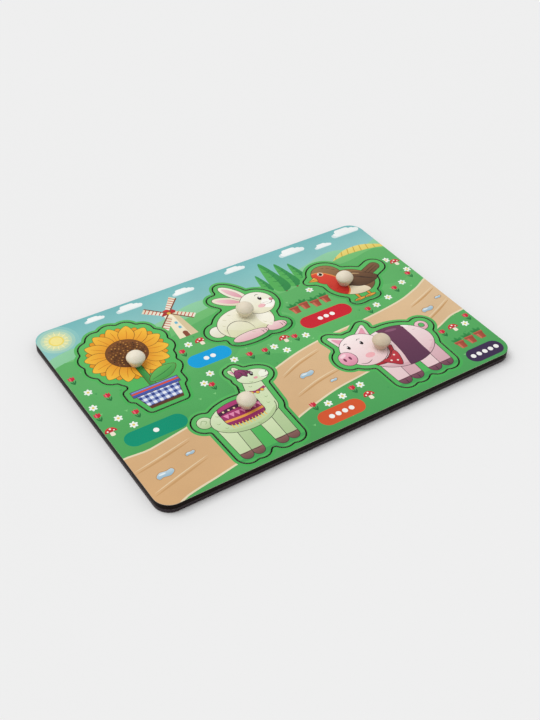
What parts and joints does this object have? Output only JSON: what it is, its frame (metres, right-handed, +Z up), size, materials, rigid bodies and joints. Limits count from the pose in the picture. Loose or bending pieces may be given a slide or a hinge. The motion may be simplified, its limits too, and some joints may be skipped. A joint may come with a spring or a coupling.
{
  "type": "peg puzzle",
  "caption": "Flat wooden peg puzzle: a printed two-layer board with contour-cut pieces that lift out of their recesses by turned knobs.",
  "frame": {"origin": "middle of the board's underside", "axes": "+X along the board's long side, +Y to its back edge, where the printed sky is, +Z up"},
  "size_m": [0.3, 0.2, 0.0183],
  "materials": {
    "board": "pressed hardboard with dark stained edges",
    "panel": "pressed hardboard with burnt cut edges",
    "knob": "pale turned beech under clear lacquer",
    "screw": "zinc-plated steel",
    "frame_print": "colour print under a satin film",
    "sunflower_print": "colour print under a satin film",
    "rabbit_print": "colour print under a satin film",
    "robin_print": "colour print under a satin film",
    "llama_print": "colour print under a satin film",
    "pig_print": "colour print under a satin film"
  },
  "bodies": {
    "board": {"base_board": "board", "frame_board": "board", "frame_print": "frame_print"},
    "sunflower_piece": {"sunflower_panel": "panel", "sunflower_print": "sunflower_print", "sunflower_knob": "knob", "sunflower_screw": "screw"},
    "rabbit_piece": {"rabbit_panel": "panel", "rabbit_print": "rabbit_print", "rabbit_knob": "knob", "rabbit_screw": "screw"},
    "robin_piece": {"robin_panel": "panel", "robin_print": "robin_print", "robin_knob": "knob", "robin_screw": "screw"},
    "llama_piece": {"llama_panel": "panel", "llama_print": "llama_print", "llama_knob": "knob", "llama_screw": "screw"},
    "pig_piece": {"pig_panel": "panel", "pig_print": "pig_print", "pig_knob": "knob", "pig_screw": "screw"}
  },
  "joints": [
    {"name": "sunflower_lift", "type": "slide", "parent": "board", "child": "sunflower_piece", "axis": [0, 0, 1], "range_m": [0, 0.04]},
    {"name": "rabbit_lift", "type": "slide", "parent": "board", "child": "rabbit_piece", "axis": [0, 0, 1], "range_m": [0, 0.04]},
    {"name": "robin_lift", "type": "slide", "parent": "board", "child": "robin_piece", "axis": [0, 0, 1], "range_m": [0, 0.04]},
    {"name": "llama_lift", "type": "slide", "parent": "board", "child": "llama_piece", "axis": [0, 0, 1], "range_m": [0, 0.04]},
    {"name": "pig_lift", "type": "slide", "parent": "board", "child": "pig_piece", "axis": [0, 0, 1], "range_m": [0, 0.04]}
  ]
}
